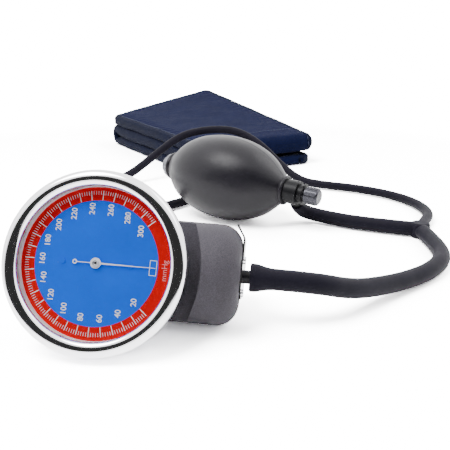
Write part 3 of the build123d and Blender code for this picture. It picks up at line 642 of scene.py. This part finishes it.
def fold(s, t):
    """Point and upper-side normal on the folded cuff's middle surface, s mm from its near free end."""
    low, lift = LAYER / 2, cuff_lift(t)
    if s <= FIRST:
        return Vector((-CUFF_LONG / 2 + s, t, low)), Vector((0, 0, 1))
    s -= FIRST
    if s <= LOOP:
        turn, tall = s / BEND, BEND + lift / 4
        at = Vector((STRAIGHT + BEND * sin(turn), t, low + tall - tall * cos(turn)))
        return at, Vector((-tall * sin(turn), 0, BEND * cos(turn))).normalized()
    s -= LOOP
    if s <= 2 * STRAIGHT:
        rise = lift / 2 * (1 - s / (2 * STRAIGHT))
        return Vector((STRAIGHT - s, t, low + 2 * BEND + rise)), Vector((0, 0, -1))
    s -= 2 * STRAIGHT
    if s <= LOOP:
        turn = s / BEND
        at = Vector((-STRAIGHT - BEND * sin(turn), t, low + 3 * BEND - BEND * cos(turn)))
        return at, Vector((-sin(turn), 0, -cos(turn)))
    s -= LOOP
    return Vector((-STRAIGHT + s, t, low + 4 * BEND + lift * s / FIRST)), Vector((0, 0, 1))


def ease(x):
    x = max(0.0, min(1.0, x))
    return x * x * (3 - 2 * x)


def cuff_half_width(s):
    """Half the cuff's width: its free ends have rounded corners, its edges are never quite straight."""
    near_end = min(s, FLAT_LONG - s)
    trim = CORNER - sqrt(max(0.0, CORNER ** 2 - (CORNER - near_end) ** 2)) if near_end < CORNER else 0.0
    return CUFF_WIDE / 2 - 0.6 - trim + 0.5 * noise.noise(Vector((s * 0.03, 3.1, 0)))


def cuff_half_depth(s, t):
    """Half the cuff's thickness: thin at the sewn hem, fuller over the bladder, with soft wrinkles."""
    half = cuff_half_width(s)
    edge = min(half - abs(t), s, FLAT_LONG - s)
    fill = ease(edge / 14.0)
    bladder = ease((min(s - 28.0, 176.0 - s)) / 14.0) * ease((50.0 - abs(t)) / 9.0)
    depth = HEM_HALF * ease(edge / HEM_RISE + 0.35) + (LAYER / 2 - 3.3) * fill + BLADDER_FULLNESS * bladder
    pucker = PUCKER_DEPTH * sin(2 * pi * s / PUCKER_PITCH + 2.0 * noise.noise(Vector((s * 0.05, t * 0.03, 5.0))))
    depth += pucker * ease(edge / 6.0) * (1 - ease((edge - 8.0) / 12.0))
    return depth + fill * (0.5 * noise.noise(Vector((s * 0.035, t * 0.045, 9.0)))
                           + 0.22 * noise.noise(Vector((s * 0.11, t * 0.09, 2.0))))


def drift(s, t):
    """How far the middle surface itself strays from flat: hems that lift or droop a little."""
    half = cuff_half_width(s)
    rim = 1 - ease((half - abs(t)) / 16.0)
    return rim * (0.75 * noise.noise(Vector((s * 0.022, 7.0 if t > 0 else -7.0, 0))) - 0.35)


def snug(s, t, face):
    """Extra fullness at the rims where a layer faces the next one, so that the packet's sides close up."""
    middle, top = FIRST + LOOP, FIRST + 2 * LOOP + 2 * STRAIGHT
    if face > 0:        # between the bottom and the middle layer
        if s > middle + 2 * STRAIGHT:
            return 0.0
        x = -CUFF_LONG / 2 + s if s < FIRST else STRAIGHT - (s - middle)
        clear = ease((abs(s - FIRST - LOOP / 2) - LOOP / 2) / 14) * ease((middle + 2 * STRAIGHT - s) / 14)
    else:               # between the middle and the top layer
        if s < FIRST + LOOP / 2:
            return 0.0
        x = -STRAIGHT + (s - top) if s > top else STRAIGHT - (s - middle)
        clear = ease((abs(s - top + LOOP / 2) - LOOP / 2) / 14) * ease((s - FIRST - LOOP / 2) / 10)
    gap = GAP + 1.2 + cuff_lift(t) / 2 * max(0.0, min(1.0, (x + STRAIGHT) / (2 * STRAIGHT)))
    rim = 1 - ease((min(cuff_half_width(s) - abs(t), s, FLAT_LONG - s) - 2) / SNUG_REACH)
    return rim * clear * min(0.5 * gap, SNUG_MOST)


def cuff_point(s, t, face, proud=0.0):
    """Point on the cuff, or proud of it: s along, t across, face 1 for the upper side and -1 for the under side."""
    at, normal = fold(s, t)
    point = at + Vector((0, 0, 1)) * drift(s, t) + face * normal * (cuff_half_depth(s, t) + snug(s, t, face) + proud)
    point.z = max(point.z, TABLE_CLEARANCE - proud)
    return point


def make_cuff():
    """Folded cuff cover as one closed quilted strip, an S in its long section."""
    along, across = 240, 48
    bm = bmesh.new()
    faces = {}
    for face in (1, -1):
        rows = []
        for i in range(along + 1):
            s = FLAT_LONG * i / along
            half = cuff_half_width(s)
            rows.append([bm.verts.new(cuff_point(s, half * sin(pi / 2 * (2 * j / across - 1)), face))
                         for j in range(across + 1)])
        faces[face] = rows
        for a, b in zip(rows, rows[1:]):
            for j in range(across):
                bm.faces.new((a[j], a[j + 1], b[j + 1], b[j]) if face > 0 else (a[j], b[j], b[j + 1], a[j + 1]))
    top, under = faces[1], faces[-1]
    for side in (0, -1):
        for i in range(along):
            bm.faces.new((top[i][side], top[i + 1][side], under[i + 1][side], under[i][side]))
    for end in (0, -1):
        for j in range(across):
            bm.faces.new((top[end][j], top[end][j + 1], under[end][j + 1], under[end][j]))
    return add_piece("cuff_fabric", finished(bm, "cuff_fabric"), CUFF, [NAVY],
                     replaces=["cuff_cover"], sharp=70)


def make_binding():
    """Binding tape folded over the cuff's two long edges, standing a little proud of the fabric."""
    bm = bmesh.new()
    count = int(FLAT_LONG / TAPE_STEP)
    for side in (-1, 1):
        rows = []
        for s in [FLAT_LONG * i / count for i in range(count + 1)]:
            half = cuff_half_width(s)
            row = []
            insets = (TAPE_REACH, TAPE_REACH - 0.25, 3.6, 1.6, 0.3)
            for face, inset in [(1, x) for x in insets] + [(-1, x) for x in reversed(insets)]:
                t = side * (half - inset)
                lift = 0.0 if inset == TAPE_REACH else TAPE_PROUD * (0.75 if inset < 1 else 1.0)
                ripple = 0.08 * sin(2 * pi * s / 3.1) * (inset == 3.6)
                row.append(bm.verts.new(cuff_point(s, t, face, lift + ripple)
                                        + Vector((0, side * (0.5 if inset < 1 else 0), 0))))
            rows.append(row)
        for a, b in zip(rows, rows[1:]):
            for j in range(len(a) - 1):
                bm.faces.new((a[j], a[j + 1], b[j + 1], b[j]))
        for end in (rows[0], rows[-1]):
            bm.faces.new(end)
    return add_piece("cuff_binding", finished(bm, "cuff_binding"), CUFF, [TAPE], sharp=60)


def bead(bm, start, end, up, radius):
    """A stitch: a short, flattened, pointed bead of thread lying on the cloth."""
    along = (end - start)
    side = up.cross(along).normalized() * radius
    ring = []
    for k in (0.0, 0.22, 0.78, 1.0):
        fat = 1.0 if 0 < k < 1 else 0.35
        at = start + along * k
        ring.append([bm.verts.new(at + side * fat), bm.verts.new(at + up * radius * 0.9 * fat),
                     bm.verts.new(at - side * fat), bm.verts.new(at - up * radius * 0.9 * fat)])
    for a, b in zip(ring, ring[1:]):
        for j in range(4):
            k = (j + 1) % 4
            bm.faces.new((a[j], a[k], b[k], b[j]))
    bm.faces.new(ring[0])
    bm.faces.new(ring[-1])


def make_stitches():
    """Lockstitch rows along the binding, across both free ends, and one more row across the cuff's top layer."""
    bm = bmesh.new()

    def stitch(s0, t0, s1, t1, face):
        start, end = cuff_point(s0, t0, face, STITCH_PROUD), cuff_point(s1, t1, face, STITCH_PROUD)
        bead(bm, start, end, face * fold((s0 + s1) / 2, t0)[1], STITCH_RADIUS)

    count = int((FLAT_LONG - 16) / STITCH_PITCH)
    for side in (-1, 1):
        for i in range(count):
            s = 8 + STITCH_PITCH * i
            t0, t1 = (side * (cuff_half_width(x) - STITCH_INSET) for x in (s, s + STITCH_LENGTH))
            for face in (1, -1):
                stitch(s, t0, s + STITCH_LENGTH, t1, face)
    for s in (6.0, FLAT_LONG - 6.0, FLAT_LONG - 178.0):
        for i in range(int(96 / STITCH_PITCH)):
            t = -48 + STITCH_PITCH * i
            for face in (1, -1):
                stitch(s, t, s, t + STITCH_LENGTH, face)
    return add_piece("cuff_stitches", finished(bm, "cuff_stitches"), CUFF, [THREAD], sharp=60)


PATCH_LONG, PATCH_WIDE, PATCH_HALF = 110.0, 80.0, 0.36


def make_patch(name, node, z, material, lift_share):
    """Sewn-on fastener patch between two layers, slightly wavy, with a rolled edge."""
    nx, ny = 44, 32
    bm = bmesh.new()
    rows = {}
    for face in (1, -1):
        grid = []
        for i in range(nx + 1):
            row = []
            for j in range(ny + 1):
                x, y = PATCH_LONG * (i / nx - 0.5), PATCH_WIDE * (j / ny - 0.5)
                inside = ease(min(PATCH_LONG / 2 - abs(x), PATCH_WIDE / 2 - abs(y)) / 2.0)
                wave = 0.1 * noise.noise(Vector((x * 0.05, y * 0.05, z)))
                slope = lift_share * cuff_lift(y) * (x + STRAIGHT) / (2 * STRAIGHT)
                row.append(bm.verts.new((x, y, z + slope + wave + face * PATCH_HALF * (0.35 + 0.65 * inside))))
            grid.append(row)
        rows[face] = grid
        for a, b in zip(grid, grid[1:]):
            for j in range(ny):
                bm.faces.new((a[j], b[j], b[j + 1], a[j + 1]) if face > 0 else (a[j], a[j + 1], b[j + 1], b[j]))
    for i in range(nx):
        for j in (0, ny):
            bm.faces.new((rows[1][i][j], rows[1][i + 1][j], rows[-1][i + 1][j], rows[-1][i][j]))
    for j in range(ny):
        for i in (0, nx):
            bm.faces.new((rows[1][i][j], rows[1][i][j + 1], rows[-1][i][j + 1], rows[-1][i][j]))
    return add_piece(name, finished(bm, name), CUFF, [material], replaces=[node], sharp=60)


# ---- table, lights and camera -------------------------------------------------------
TABLE_HALF, TABLE_DROP = 12.0, 0.0002


def make_table():
    bm = bmesh.new()
    bmesh.ops.create_grid(bm, x_segments=24, y_segments=24, size=TABLE_HALF)
    mesh = bpy.data.meshes.new("table")
    bm.to_mesh(mesh)
    bm.free()
    mesh.transform(Matrix.Translation((0, 0, cad_box[0][2] - TABLE_DROP)))
    mesh.materials.append(floor_material())
    table = bpy.data.objects.new("table", mesh)
    bpy.context.scene.collection.objects.link(table)


def area_light(name, at, target, side, power):
    lamp = bpy.data.lights.new(name, "AREA")
    lamp.shape, lamp.size, lamp.energy = "SQUARE", side, power
    holder = bpy.data.objects.new(name, lamp)
    holder.location = at
    holder.rotation_euler = (Vector(target) - Vector(at)).to_track_quat("-Z", "Y").to_euler()
    bpy.context.scene.collection.objects.link(holder)


LIGHT_LEVEL, MIRROR_GAIN, BACKDROP_GAIN = 0.8, 4.0, 34.0
CARD_TOWARD = (0.0, -0.88, 0.47)        # the dark card that the chrome rim mirrors as its black band
CARD_SQUEEZE = (0.3, 0.4, 1.0)          # wide across, narrow in height
CARD_DROOP = 0.5                        # its ends hang lower than its middle
CARD_EDGE = (0.30, 0.38)


def make_world():
    """White surroundings with one wide dark card, brighter in mirrors and behind the table than as lighting."""
    world = bpy.data.worlds.new("studio")
    world.use_nodes = True
    tree = world.node_tree

    def node_math(operation, *terms):
        made = tree.nodes.new("ShaderNodeMath")
        made.operation = operation
        for slot, term in zip(made.inputs, terms):
            if isinstance(term, float):
                slot.default_value = term
            else:
                tree.links.new(term, slot)
        return made.outputs["Value"]

    rays = tree.nodes.new("ShaderNodeLightPath").outputs
    parts = tree.nodes.new("ShaderNodeSeparateXYZ")
    tree.links.new(tree.nodes.new("ShaderNodeTexCoord").outputs["Generated"], parts.inputs["Vector"])
    x, y, z = parts.outputs
    drooped = node_math("MULTIPLY_ADD", node_math("MULTIPLY", x, x), CARD_DROOP, z)
    off = tree.nodes.new("ShaderNodeCombineXYZ")
    for slot, part, at, squeeze in zip(off.inputs, (x, y, drooped), CARD_TOWARD, CARD_SQUEEZE):
        tree.links.new(node_math("MULTIPLY", node_math("SUBTRACT", part, at), squeeze), slot)
    away = tree.nodes.new("ShaderNodeVectorMath")
    away.operation = "LENGTH"
    tree.links.new(off.outputs["Vector"], away.inputs[0])
    fade = tree.nodes.new("ShaderNodeValToRGB")
    for stop, position, shade in zip(fade.color_ramp.elements, CARD_EDGE, (0.01, 1.0)):
        stop.position, stop.color = position, (shade, shade, shade, 1)
    tree.links.new(away.outputs["Value"], fade.inputs["Fac"])
    bright = node_math("MULTIPLY_ADD", rays["Is Glossy Ray"], MIRROR_GAIN - 1, 1.0)
    level = node_math("MULTIPLY", bright, fade.outputs["Color"])
    gray = tree.nodes.new("ShaderNodeCombineColor")
    for channel in gray.inputs:
        tree.links.new(node_math("MULTIPLY_ADD", rays["Is Camera Ray"], BACKDROP_GAIN, level), channel)
    back = tree.nodes["Background"]
    tree.links.new(gray.outputs["Color"], back.inputs["Color"])
    back.inputs["Strength"].default_value = LIGHT_LEVEL
    bpy.context.scene.world = world


CAMERA_AT, CAMERA_DOWN, CAMERA_LENS = (0.0215, -0.423, 0.1028), 17.7, 45.0


def make_camera():
    lens = bpy.data.cameras.new("view")
    lens.lens, lens.sensor_width = CAMERA_LENS, 36.0
    lens.clip_start = 0.01
    camera = bpy.data.objects.new("view", lens)
    camera.location = CAMERA_AT
    camera.rotation_euler = (radians(90 - CAMERA_DOWN), 0, 0)
    bpy.context.scene.collection.objects.link(camera)
    bpy.context.scene.camera = camera


make_camera()
make_world()
make_table()
area_light("key", (-0.45, -0.45, 1.1), (0, 0, 0), 0.6, 17)
area_light("fill", (0.8, 0.1, 0.9), (0.05, 0, 0), 0.7, 6)
make_bezel()
make_dial()
make_scale()
make_pointer_hub()
make_hose_end()
make_bulb()
make_hoses()
cuff = make_cuff()
binding, stitches = make_binding(), make_stitches()
loop_patch = make_patch("loop_panel", "loop_patch", LAYER + 1.0, LOOPS, 0.0)
hook_patch = make_patch("hook_panel", "hook_patch", 2 * LAYER + GAP + 1.0, HOOKS, 0.5)
